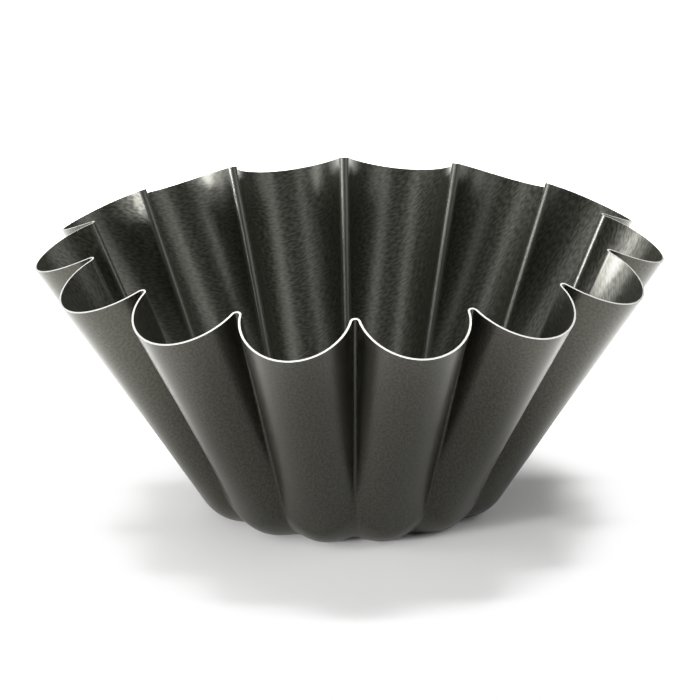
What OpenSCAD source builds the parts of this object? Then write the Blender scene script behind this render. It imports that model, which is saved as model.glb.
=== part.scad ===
// Fluted brioche mould, pressed from one round blank of coated sheet steel.
//
// Origin: centre of the flat underside, +Z up through the open mouth.
// A flute crown points along +X and -X, a crease along +Y and -Y.
// The wall runs straight from the rounded base corner to the rim, and it is
// equally long all round, measured along the sheet. The blank is trimmed
// round, so the creases, which lean out less, end higher than the crowns.
// The part is the bare steel blank between its two baked-on coatings, which
// leave the cut edge bare at the rim.

/* [Mould] */

// Diameter over the flute crowns at the rim, middle of the sheet, mm
rim_d = 199.5; // [192:0.5:220]

// How far a crease stands in from the crowns at the rim, mm
flute_depth = 16.4; // [12:0.2:17]

// Number of flutes round the wall
flutes = 14; // [12:1:15]

// Length of the wall along the sheet, from the base corner to the rim, mm
wall_l = 96; // [90:0.5:110]

/* [Base] */

// Diameter at which the straight wall would meet the base plane, mm
base_d = 92.2; // [84:0.2:98]

// Bend radius of the base corner under a flute crown, mm
crown_corner_r = 14.6; // [10:0.2:18]

// Bend radius of the base corner under a crease, mm
crease_corner_r = 21.6; // [14:0.2:22]

/* [Sheet] */

// Thickness of the bare steel sheet, mm
sheet_t = 0.6; // [0.4:0.05:0.8]

// Thickness of each non-stick coating, mm
coat_t = 0.04; // [0.03:0.01:0.08]

// Bend radius of a crease at the rim, middle of the sheet, mm
crease_r = 1.4; // [1.2:0.1:2]

/* [Smoothness] */

// Steps from the crown of a flute to where its crease begins
crown_steps = 6; // [5:1:8]

// Steps from there to the tip of the crease
crease_steps = 3; // [2:1:4]

// Steps through the bend of the base corner
corner_steps = 4; // [3:1:6]

// Steps up the straight wall
wall_steps = 2; // [1:1:4]

/* [View] */

// Which piece to draw

/* [Hidden] */

half = sheet_t / 2;                 // middle of the sheet to either face
floor_z = half + coat_t;            // height of the middle of the base sheet
pitch_half = 180 / flutes;          // crown to crease, degrees
crown_rad = rim_d / 2;              // crown radius at the rim
tip_rad = crown_rad - flute_depth;  // crease radius at the rim

// A flute at the rim is a round arc about a point on the crown line. A small
// arc about a point on the crease line meets it tangentially.
nose_d = tip_rad + crease_r;
nose = [nose_d * cos(pitch_half), nose_d * sin(pitch_half)];
reach = crown_rad - nose[0];
arc_r = (reach * reach + nose[1] * nose[1] - crease_r * crease_r) / (2 * (reach + crease_r));
arc_c = [crown_rad - arc_r, 0];
arc_a = atan2(nose[1] - arc_c[1], nose[0] - arc_c[0]);   // crown arc, degrees
nose_a = arc_a - pitch_half;                             // crease arc, degrees
arc_len = arc_r * arc_a * PI / 180;
nose_len = crease_r * nose_a * PI / 180;
run = arc_len + nose_len;           // crown to crease along the rim in plan

// Distances along the profile at which one flute is sampled
half_run = concat(
    [for (i = [0:crown_steps]) arc_len * i / crown_steps],
    [for (i = [1:crease_steps]) arc_len + nose_len * i / crease_steps]);
last = len(half_run) - 1;
flute_run = concat(
    [for (i = [last:-1:1]) -half_run[i]],
    [for (i = [0:last - 1]) half_run[i]]);
per_flute = len(flute_run);
around = per_flute * flutes;
rings = corner_steps + wall_steps + 1;

function turn(p, a) = [p[0] * cos(a) - p[1] * sin(a), p[0] * sin(a) + p[1] * cos(a)];
function flip(p) = [p[0], -p[1]];
function unit(v) = v / norm(v);

// Rim in plan, s mm along it from a crown
function rim_at(s) =
    s < 0 ? flip(rim_at(-s)) :
    s > run ? turn(flip(rim_at(2 * run - s)), 2 * pitch_half) :
    s <= arc_len ? arc_c + arc_r * [cos(s / arc_r * 180 / PI), sin(s / arc_r * 180 / PI)] :
    let (a = arc_a + 180 - (s - arc_len) / crease_r * 180 / PI)
    nose + crease_r * [cos(a), sin(a)];

// Foot of the same line of the wall, on the circle where wall meets base
function foot_at(s) = base_d / 2 * [cos(pitch_half * s / run), sin(pitch_half * s / run)];

function corner_r(s) =
    crease_corner_r + (crown_corner_r - crease_corner_r) * (0.5 + 0.5 * cos(180 * s / run));

// Middle of the sheet on ring k, and the direction up the sheet there
function sheet_at(s, k) =
    let (
        foot = foot_at(s),
        out = rim_at(s) - foot,
        o = norm(out),
        e = out / o,
        lean = acos(o / wall_l),            // wall above the horizontal
        r = corner_r(s),
        gone = r * tan(lean / 2)            // wall length taken by the bend
    )
    k <= corner_steps
    ? let (w = lean * k / corner_steps, h = r * sin(w) - gone)
      [[foot[0] + e[0] * h, foot[1] + e[1] * h, floor_z + r * (1 - cos(w))],
       [e[0] * cos(w), e[1] * cos(w), sin(w)]]
    : let (
          f = (k - corner_steps) / wall_steps,
          h = gone + (wall_l - gone) * f
      )
      [[foot[0] + e[0] * h * cos(lean), foot[1] + e[1] * h * cos(lean), floor_z + h * sin(lean)],
       [e[0] * cos(lean), e[1] * cos(lean), sin(lean)]];

// Outward normal of the sheet, from a small step along the ring
step = 0.01;
function normal_at(s, k) =
    k == 0 ? [0, 0, -1] :
    unit(cross(sheet_at(s + step, k)[0] - sheet_at(s - step, k)[0], sheet_at(s, k)[1]));

// One flute of the middle of the sheet with its normals, ring by ring
flute_mid = [for (k = [0:rings - 1]) [for (s = flute_run) sheet_at(s, k)[0]]];
flute_nrm = [for (k = [0:rings - 1]) [for (s = flute_run) normal_at(s, k)]];

function spin(p, a) = concat(turn(p, a), [p[2]]);

// The whole surface at a distance d outside the middle of the sheet
function skin(d) = [
    for (k = [0:rings - 1]) for (f = [0:flutes - 1]) for (i = [0:per_flute - 1])
        spin(flute_mid[k][i] + d * flute_nrm[k][i], 2 * pitch_half * f)
];

// Two triangles between points i and j of rings k and k + 1. The diagonal
// changes hands at each crown and crease, so both halves of a flute match.
function strip(k, i, base) =
    let (
        j = (i + 1) % around,
        a = base + k * around + i,
        b = base + k * around + j,
        c = base + (k + 1) * around + j,
        d = base + (k + 1) * around + i,
        left = (i % per_flute) < per_flute / 2
    )
    left ? [[a, b, c], [a, c, d]] : [[a, b, d], [b, c, d]];

function reverse_face(f) = [f[2], f[1], f[0]];

// A closed layer of the sheet between distances d_out and d_in from its middle
module layer(d_out, d_in) {
    n = rings * around;
    top = (rings - 1) * around;
    points = concat(skin(d_out), skin(d_in), [[0, 0, floor_z - d_out], [0, 0, floor_z - d_in]]);
    outside = [
        for (k = [0:rings - 2]) for (i = [0:around - 1]) for (t = strip(k, i, 0)) reverse_face(t)
    ];
    inside = [
        for (k = [0:rings - 2]) for (i = [0:around - 1]) for (t = strip(k, i, n)) t
    ];
    edge = [
        for (i = [0:around - 1]) let (j = (i + 1) % around)
            for (t = [[top + i, n + top + j, top + j], [top + i, n + top + i, n + top + j]]) t
    ];
    under = [for (i = [0:around - 1]) let (j = (i + 1) % around) [2 * n, i, j]];
    over = [for (i = [0:around - 1]) let (j = (i + 1) % around) [2 * n + 1, n + j, n + i]];
    union() {
        polyhedron(points = points, faces = concat(outside, inside, edge, under, over), convexity = 10);
        // flat middle of the base, turned so that its corners miss the lines of
        // the fan round it
        translate([0, 0, floor_z - d_out]) rotate(1.1)
            cylinder(r = base_d / 5, h = d_out - d_in, $fn = 96);
    }
}

// Pressed sheet steel, bare at its cut edge
module steel_shell() {
    color([0.80, 0.80, 0.78]) layer(half, -half);
}

// Dark coating on the outside of the wall and under the base
module outer_coating() {
    color([0.27, 0.27, 0.25]) layer(half + coat_t, half);
}

// Dark non-stick coating on the inside
module inner_coating() {
    color([0.22, 0.22, 0.20]) layer(-half, -half - coat_t);
}

steel_shell();
outer_coating();
inner_coating();
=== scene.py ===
import math

import bmesh
import bpy
from mathutils import Matrix, Vector


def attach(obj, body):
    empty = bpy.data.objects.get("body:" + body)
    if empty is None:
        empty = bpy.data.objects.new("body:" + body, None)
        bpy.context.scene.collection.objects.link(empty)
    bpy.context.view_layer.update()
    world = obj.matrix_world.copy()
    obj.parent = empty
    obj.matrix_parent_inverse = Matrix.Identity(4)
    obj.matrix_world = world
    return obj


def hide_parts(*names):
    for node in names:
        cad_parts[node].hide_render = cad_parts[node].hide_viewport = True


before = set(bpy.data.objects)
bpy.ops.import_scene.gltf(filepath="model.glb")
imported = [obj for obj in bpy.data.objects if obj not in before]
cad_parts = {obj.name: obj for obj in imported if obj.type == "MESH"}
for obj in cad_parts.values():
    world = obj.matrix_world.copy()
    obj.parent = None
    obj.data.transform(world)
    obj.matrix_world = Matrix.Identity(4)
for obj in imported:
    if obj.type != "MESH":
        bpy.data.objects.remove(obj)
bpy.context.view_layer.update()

# ---------------------------------------------------------------- the sheet
MM = 0.001
RIM_D = 199.5 * MM
FLUTE_DEPTH = 16.4 * MM
FLUTES = 14
WALL_L = 96.0 * MM
BASE_D = 92.2 * MM
CROWN_CORNER_R = 14.6 * MM
CREASE_CORNER_R = 21.6 * MM
SHEET_T = 0.6 * MM
COAT_T = 0.04 * MM
CREASE_R = 1.4 * MM

HALF = SHEET_T / 2
FLOOR_Z = HALF + COAT_T
PITCH_HALF = math.pi / FLUTES
CROWN_RAD = RIM_D / 2
TIP_RAD = CROWN_RAD - FLUTE_DEPTH
NOSE_D = TIP_RAD + CREASE_R
NOSE = (NOSE_D * math.cos(PITCH_HALF), NOSE_D * math.sin(PITCH_HALF))
REACH = CROWN_RAD - NOSE[0]
ARC_R = (REACH ** 2 + NOSE[1] ** 2 - CREASE_R ** 2) / (2 * (REACH + CREASE_R))
ARC_C = CROWN_RAD - ARC_R
ARC_A = math.atan2(NOSE[1], NOSE[0] - ARC_C)
NOSE_A = ARC_A - PITCH_HALF
ARC_LEN = ARC_R * ARC_A
RUN = ARC_LEN + CREASE_R * NOSE_A

CROWN_STEPS = 16
CREASE_STEPS = 9
CORNER_STEPS = 18
WALL_STEPS = 14
BASE_STEPS = 8


def turn(p, a):
    c, s = math.cos(a), math.sin(a)
    return (p[0] * c - p[1] * s, p[0] * s + p[1] * c)


def rim_at(s):
    """The rim in plan, s metres along it from a crown."""
    if s < 0:
        x, y = rim_at(-s)
        return (x, -y)
    if s > RUN:
        x, y = rim_at(2 * RUN - s)
        return turn((x, -y), 2 * PITCH_HALF)
    if s <= ARC_LEN:
        return (ARC_C + ARC_R * math.cos(s / ARC_R), ARC_R * math.sin(s / ARC_R))
    a = ARC_A + math.pi - (s - ARC_LEN) / CREASE_R
    return (NOSE[0] + CREASE_R * math.cos(a), NOSE[1] + CREASE_R * math.sin(a))


def sheet_at(s, k):
    """Middle of the sheet on ring k, and the direction up the sheet there."""
    a = PITCH_HALF * s / RUN
    foot = (BASE_D / 2 * math.cos(a), BASE_D / 2 * math.sin(a))
    rim = rim_at(s)
    out = (rim[0] - foot[0], rim[1] - foot[1])
    o = math.hypot(*out)
    e = (out[0] / o, out[1] / o)
    lean = math.acos(o / WALL_L)
    r = CREASE_CORNER_R + (CROWN_CORNER_R - CREASE_CORNER_R) * (0.5 + 0.5 * math.cos(math.pi * s / RUN))
    gone = r * math.tan(lean / 2)
    if k <= CORNER_STEPS:
        w = lean * k / CORNER_STEPS
        h = r * math.sin(w) - gone
        z = FLOOR_Z + r * (1 - math.cos(w))
        return Vector((foot[0] + e[0] * h, foot[1] + e[1] * h, z)), Vector((e[0] * math.cos(w), e[1] * math.cos(w), math.sin(w)))
    f = (k - CORNER_STEPS) / WALL_STEPS
    h = gone + (WALL_L - gone) * f
    c = math.cos(lean)
    return (
        Vector((foot[0] + e[0] * h * c, foot[1] + e[1] * h * c, FLOOR_Z + h * math.sin(lean))),
        Vector((e[0] * c, e[1] * c, math.sin(lean))),
    )


def normal_at(s, k):
    if k == 0:
        return Vector((0, 0, -1))
    d = 1e-5
    along = sheet_at(s + d, k)[0] - sheet_at(s - d, k)[0]
    return along.cross(sheet_at(s, k)[1]).normalized()


half_run = [ARC_LEN * i / CROWN_STEPS for i in range(CROWN_STEPS + 1)]
half_run += [ARC_LEN + (RUN - ARC_LEN) * i / CREASE_STEPS for i in range(1, CREASE_STEPS + 1)]
flute_run = [-s for s in half_run[:0:-1]] + half_run[:-1]
PER = len(flute_run)
AROUND = PER * FLUTES
RINGS = CORNER_STEPS + WALL_STEPS + 1

flute = [[(sheet_at(s, k)[0], normal_at(s, k)) for s in flute_run] for k in range(RINGS)]


def blank_rows():
    """Where each ring lay in the flat round blank, in metres: the grain was rolled on before pressing."""
    first = [math.hypot(p.x, p.y) for p, _ in flute[0]]
    reach = [list(first)]
    for k in range(1, RINGS):
        reach.append([reach[-1][i] + (flute[k][i][0] - flute[k - 1][i][0]).length for i in range(PER)])
    radii = [[r * b / BASE_STEPS for r in first] for b in range(1, BASE_STEPS)] + reach
    rows = []
    for row in radii:
        ring = []
        for f in range(FLUTES):
            for i, s in enumerate(flute_run):
                a = PITCH_HALF * (s / RUN + 2 * f)
                ring.append((row[i] * math.cos(a), row[i] * math.sin(a)))
        rows.append(ring)
    return rows


blank = blank_rows()


def skin(d):
    """Rings of points at a distance d outside the middle of the sheet, from the base centre out."""
    rows = []
    inner = [p + d * n for p, n in flute[0]]
    for b in range(1, BASE_STEPS):
        rows.append([Vector((p.x * b / BASE_STEPS, p.y * b / BASE_STEPS, p.z)) for p in inner])
    for k in range(RINGS):
        rows.append([p + d * n for p, n in flute[k]])
    full = []
    for row in rows:
        ring = []
        for f in range(FLUTES):
            a = 2 * PITCH_HALF * f
            c, s = math.cos(a), math.sin(a)
            ring += [Vector((p.x * c - p.y * s, p.x * s + p.y * c, p.z)) for p in row]
        full.append(ring)
    return full


def layer(name, d_out, d_in):
    """A closed layer of the sheet between two distances from its middle."""
    bm = bmesh.new()
    uv = bm.loops.layers.uv.new("sheet")
    rows = {}
    for key, d in (("out", d_out), ("in", d_in)):
        rings = skin(d)
        rows[key] = [[bm.verts.new(p) for p in ring] for ring in rings]
        centre = bm.verts.new((0, 0, FLOOR_Z - d))
        flipped = key == "in"
        n = len(rings)
        for i in range(AROUND):
            j = (i + 1) % AROUND
            tri = (centre, rows[key][0][j], rows[key][0][i])
            face = bm.faces.new(tri if not flipped else tri[::-1])
            flat = {centre: (0.0, 0.0), tri[1]: blank[0][j], tri[2]: blank[0][i]}
            for loop in face.loops:
                loop[uv].uv = flat[loop.vert]
            for k in range(n - 1):
                a, b = rows[key][k][i], rows[key][k][j]
                c, e = rows[key][k + 1][j], rows[key][k + 1][i]
                face = bm.faces.new((a, e, c, b) if flipped else (a, b, c, e))
                flat = {a: blank[k][i], b: blank[k][j], c: blank[k + 1][j], e: blank[k + 1][i]}
                for loop in face.loops:
                    loop[uv].uv = flat[loop.vert]
    o, q = rows["out"][-1], rows["in"][-1]
    for i in range(AROUND):
        j = (i + 1) % AROUND
        face = bm.faces.new((o[i], o[j], q[j], q[i]))
        flat = {o[i]: blank[-1][i], o[j]: blank[-1][j], q[j]: blank[-1][j], q[i]: blank[-1][i]}
        for loop in face.loops:
            loop[uv].uv = flat[loop.vert]
    bm.normal_update()
    for face in bm.faces:
        face.smooth = True
    # the cut edge meets both faces of the sheet at a corner
    for i in range(AROUND):
        j = (i + 1) % AROUND
        for ring in (o, q):
            edge = bm.edges.get((ring[i], ring[j]))
            if edge:
                edge.smooth = False
    mesh = bpy.data.meshes.new(name)
    bm.to_mesh(mesh)
    bm.free()
    obj = bpy.data.objects.new(name, mesh)
    bpy.context.scene.collection.objects.link(obj)
    return obj


# ---------------------------------------------------------------- materials
class Nodes:
    """A small helper round one material's node tree."""

    def __init__(self, name):
        self.mat = bpy.data.materials.new(name)
        self.mat.use_nodes = True
        self.tree = self.mat.node_tree
        self.tree.nodes.clear()
        self.out = self.tree.nodes.new("ShaderNodeOutputMaterial")
        self.bsdf = self.tree.nodes.new("ShaderNodeBsdfPrincipled")
        self.link(self.bsdf.outputs["BSDF"], self.out.inputs["Surface"])

    def new(self, kind, **values):
        node = self.tree.nodes.new(kind)
        for key, value in values.items():
            setattr(node, key, value)
        return node

    def link(self, a, b):
        self.tree.links.new(a, b)

    def mapped(self, source, scale):
        m = self.new("ShaderNodeMapping")
        m.inputs["Scale"].default_value = scale
        self.link(source, m.inputs["Vector"])
        return m.outputs["Vector"]

    def turned(self, source, angle, offset):
        m = self.new("ShaderNodeMapping")
        m.inputs["Rotation"].default_value = (0.0, 0.0, angle)
        m.inputs["Location"].default_value = (offset, offset * 0.37, 0.0)
        self.link(source, m.inputs["Vector"])
        return m.outputs["Vector"]

    def noise(self, vector, scale, detail=4.0, rough=0.6):
        n = self.new("ShaderNodeTexNoise")
        n.inputs["Scale"].default_value = scale
        n.inputs["Detail"].default_value = detail
        n.inputs["Roughness"].default_value = rough
        self.link(vector, n.inputs["Vector"])
        return n.outputs["Fac"]

    def ramp(self, fac, stops):
        r = self.new("ShaderNodeValToRGB")
        while len(r.color_ramp.elements) < len(stops):
            r.color_ramp.elements.new(0.5)
        for el, (pos, col) in zip(r.color_ramp.elements, stops):
            el.position = pos
            el.color = (*col, 1.0) if len(col) == 3 else col
        self.link(fac, r.inputs["Fac"])
        return r.outputs["Color"]

    def spread(self, fac, low, high, start=0.0, end=1.0):
        m = self.new("ShaderNodeMapRange")
        m.inputs["From Min"].default_value = start
        m.inputs["From Max"].default_value = end
        m.inputs["To Min"].default_value = low
        m.inputs["To Max"].default_value = high
        self.link(fac, m.inputs["Value"])
        return m.outputs["Result"]

    def calc(self, operation, a, b):
        m = self.new("ShaderNodeMath", operation=operation)
        for socket, value in zip(m.inputs, (a, b)):
            if isinstance(value, float):
                socket.default_value = value
            else:
                self.link(value, socket)
        return m.outputs["Value"]

    def reach(self, flat):
        """Distance from the centre of the blank along the sheet, in metres."""
        v = self.new("ShaderNodeVectorMath", operation="LENGTH")
        self.link(flat, v.inputs["Vector"])
        return v.outputs["Value"]

    def crease(self, flat, near, far):
        """One within `near` metres of a crease along the sheet, falling to nought at `far`,
        and fading out where the crease runs down into the flat base."""
        xyz = self.new("ShaderNodeSeparateXYZ")
        self.link(flat, xyz.inputs["Vector"])
        turn_by = self.calc("ARCTAN2", xyz.outputs["Y"], xyz.outputs["X"])
        reach = self.reach(flat)
        off = self.calc("SUBTRACT", PITCH_HALF, self.calc("PINGPONG", turn_by, PITCH_HALF))
        beside = self.spread(self.calc("MULTIPLY", off, reach), 1.0, 0.0, near, far)
        return self.calc("MULTIPLY", beside, self.spread(reach, 0.0, 1.0, 0.048, 0.072))

    def bump(self, height, distance, strength, normal=None):
        b = self.new("ShaderNodeBump")
        b.inputs["Strength"].default_value = strength
        b.inputs["Distance"].default_value = distance
        self.link(height, b.inputs["Height"])
        if normal is not None:
            self.link(normal, b.inputs["Normal"])
        return b.outputs["Normal"]


def coating(name, low, high, rough, tint, ior, grain, dull, seed, painted_crease_highlight=None):
    """Dark baked-on coating with the fine ripple that the roller left on the flat blank.

    grain: direction in the blank in degrees, width and length of a ripple in metres, height in metres
    dull: how much of the coating's gloss the hollows of the ripple lose
    painted_crease_highlight: lighter colour painted along the crease noses as a painted highlight line, where the coat
    is also made fully metallic, if any
    """
    n = Nodes(name)
    angle, width, length, height = grain
    flat = n.new("ShaderNodeUVMap", uv_map="sheet").outputs["UV"]
    place = n.new("ShaderNodeTexCoord").outputs["Object"]
    along = n.turned(flat, -math.radians(angle), seed)
    ripple = n.noise(n.mapped(along, (1.0 / length, 1.0 / width, 1.0)), 1.0, 0.0)
    cloud = n.noise(place, 30.0, 3.0, 0.55)
    shade = n.new("ShaderNodeMix")
    shade.inputs["Factor"].default_value = 0.70
    n.link(cloud, shade.inputs["A"])
    n.link(ripple, shade.inputs["B"])
    colour = n.ramp(shade.outputs["Result"], [(0.32, low), (0.68, high)])
    hollow = n.spread(ripple, dull, 0.0, 0.30, 0.70)
    gloss = n.spread(ripple, rough[0], rough[1], 0.35, 0.65)
    if painted_crease_highlight is not None:
        # painted highlight: a lighter, fully metallic colour laid along the crease noses stands in for the thin
        # highlight lines they catch
        painted_highlight_mask = n.calc("MULTIPLY", n.crease(flat, 0.0011, 0.0021), n.spread(n.noise(place, 1500.0, 1.0), 0.35, 1.0, 0.35, 0.65))
        mix = n.new("ShaderNodeMix", data_type="RGBA")
        n.link(painted_highlight_mask, mix.inputs["Factor"])
        n.link(colour, mix.inputs["A"])
        mix.inputs["B"].default_value = (*painted_crease_highlight, 1.0)
        colour = mix.outputs["Result"]
        hollow = n.calc("MAXIMUM", painted_highlight_mask, hollow)
        # the flat base isn't stretched by the press and stays duller than the wall
        gloss = n.calc("ADD", gloss, n.spread(n.reach(flat), 0.42, 0.0, 0.038, 0.068))
    n.link(hollow, n.bsdf.inputs["Metallic"])
    n.link(colour, n.bsdf.inputs["Base Color"])
    n.bsdf.inputs["IOR"].default_value = ior
    n.bsdf.inputs["Specular Tint"].default_value = (*tint, 1.0)
    n.link(gloss, n.bsdf.inputs["Roughness"])
    n.link(n.bump(ripple, height, 1.0), n.bsdf.inputs["Normal"])
    return n.mat


def bare_steel(name):
    n = Nodes(name)
    place = n.new("ShaderNodeTexCoord").outputs["Object"]
    fine = n.noise(place, 900.0, 4.0, 0.6)
    n.link(n.ramp(fine, [(0.25, (0.275, 0.273, 0.265)), (0.75, (0.345, 0.343, 0.333))]), n.bsdf.inputs["Base Color"])
    n.bsdf.inputs["Metallic"].default_value = 1.0
    n.link(n.spread(fine, 0.66, 0.78, 0.3, 0.7), n.bsdf.inputs["Roughness"])
    n.link(n.bump(fine, 0.00002, 0.25), n.bsdf.inputs["Normal"])
    return n.mat


outer_mat = coating(
    "outer_nonstick", (0.0045, 0.0043, 0.0030), (0.0067, 0.0064, 0.0046), (0.29, 0.33), (1.0, 0.985, 0.84), 1.52,
    (95.0, 0.00085, 0.00100, 0.0000020), 0.25, 3.0)
# the inner coat's last colour is the painted highlight along the crease noses
inner_mat = coating(
    "inner_nonstick", (0.0075, 0.0078, 0.0049), (0.0095, 0.0099, 0.0067), (0.29, 0.36), (1.0, 1.0, 0.91), 1.70,
    (22.0, 0.00060, 0.0018, 0.000009), 0.42, 8.0, (0.085, 0.085, 0.077))
steel_mat = bare_steel("bare_steel")

# ---------------------------------------------------------------- the pieces
for name, node, slot_name, d_out, d_in, mat in (
    ("Pressed_steel_shell", "steel_shell", "bare_steel", HALF, -HALF, steel_mat),
    ("Outer_coating", "outer_coating", "outer_nonstick", HALF + COAT_T, HALF, outer_mat),
    ("Inner_nonstick_coating", "inner_coating", "inner_nonstick", -HALF, -HALF - COAT_T, inner_mat),
):
    piece = layer(name, d_out, d_in)
    piece.data.materials.append(mat)
    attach(piece, "root")
    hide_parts(node)

# ---------------------------------------------------------------- the studio
def plane(name, size, z):
    bm = bmesh.new()
    bmesh.ops.create_grid(bm, x_segments=1, y_segments=1, size=size)
    bmesh.ops.translate(bm, verts=bm.verts, vec=(0, 0, z))
    mesh = bpy.data.meshes.new(name)
    bm.to_mesh(mesh)
    bm.free()
    obj = bpy.data.objects.new(name, mesh)
    bpy.context.scene.collection.objects.link(obj)
    return obj


floor = plane("Floor", 12.0, -0.0001)
n = Nodes("studio_floor")
place = n.new("ShaderNodeTexCoord").outputs["Object"]
n.link(n.ramp(n.noise(place, 3.0), [(0.3, (0.88, 0.88, 0.88)), (0.7, (0.90, 0.90, 0.90))]), n.bsdf.inputs["Base Color"])
n.bsdf.inputs["Roughness"].default_value = 0.9
n.bsdf.inputs["Specular IOR Level"].default_value = 0.1
floor.data.materials.append(n.mat)

world = bpy.data.worlds.new("studio")
bpy.context.scene.world = world
world.use_nodes = True
world.node_tree.nodes["Background"].inputs["Color"].default_value = (1.0, 1.0, 1.0, 1.0)
world.node_tree.nodes["Background"].inputs["Strength"].default_value = 0.17

# plain display colours with a short soft shoulder, so that the shadow fades into the white floor
view = bpy.context.scene.view_settings
view.view_transform = "Standard"
view.use_curve_mapping = True
WHITE = 2.0
view.curve_mapping.white_level = (WHITE, WHITE, WHITE)
tone = view.curve_mapping.curves[3]
for x, y in ((0.35, 0.35), (0.70, 0.70), (0.85, 0.83), (1.0, 0.92), (1.2, 0.985), (1.4, 1.0)):
    point = tone.points.new(x / WHITE, y)
    point.handle_type = "AUTO_CLAMPED"
view.curve_mapping.update()


def softbox(name, azimuth, elevation, size, glow, distance=1.6):
    """A soft light aimed at the mould; glow is the radiance of its face."""
    data = bpy.data.lights.new(name, "AREA")
    data.shape = "RECTANGLE"
    data.size, data.size_y = size
    data.energy = math.pi * size[0] * size[1] * glow
    obj = bpy.data.objects.new(name, data)
    a, e = math.radians(azimuth), math.radians(elevation)
    aim = Vector((0, 0, 0.05))
    place = aim + distance * Vector((math.cos(e) * math.cos(a), math.cos(e) * math.sin(a), math.sin(e)))
    obj.matrix_world = Matrix.Translation(place) @ (aim - place).to_track_quat("-Z", "Y").to_matrix().to_4x4()
    bpy.context.scene.collection.objects.link(obj)
    return obj


softbox("Overhead_soft", 90, 74, (1.15, 0.6), 41)
softbox("Back_left_soft", 135, 52, (0.75, 0.75), 4.6)
softbox("Key_low", 214, 5, (0.28, 0.28), 205)
softbox("Key_high", 214, 18, (0.36, 0.36), 6.6)
softbox("Left_soft", 188, 11, (0.36, 0.70), 9.8)
softbox("Left_high", 219, 44, (0.60, 0.50), 2.1)
softbox("Front_left_soft", 240, 18, (0.36, 0.36), 8.2)
softbox("Front_right_soft", 308, 30, (0.50, 0.50), 1.6)
softbox("Right_front_soft", 331, 29, (0.65, 0.65), 1.1)
softbox("Right_high", 331, 44, (0.50, 0.50), 2.3)
softbox("Right_soft", 354, 30, (0.65, 0.65), 1.5)
softbox("Right_low", 331, 9, (0.65, 0.40), 3.2)

# camera fitted to the photo
aim = Vector((0.0, 0.0, 0.05039))
side = math.radians(-1.0405)
place = Vector((2.6334 * math.sin(side), -2.6334 * math.cos(side), 0.9394))
ahead = (aim - place).normalized()
right0 = ahead.cross(Vector((0, 0, 1))).normalized()
up0 = right0.cross(ahead)
roll = -0.009912
right = right0 * math.cos(roll) + up0 * math.sin(roll)
up = up0 * math.cos(roll) - right0 * math.sin(roll)
cam_data = bpy.data.cameras.new("Camera")
cam_data.sensor_width = 36.0
cam_data.lens = 448.33
cam_data.shift_x = -0.5 / 700
cam_data.shift_y = 0.5 / 700
cam_data.clip_end = 100.0
cam_data.dof.use_dof = False
cam = bpy.data.objects.new("Camera", cam_data)
cam.matrix_world = Matrix.Translation(place) @ Matrix((right, up, -ahead)).transposed().to_4x4()
bpy.context.scene.collection.objects.link(cam)
bpy.context.scene.camera = cam
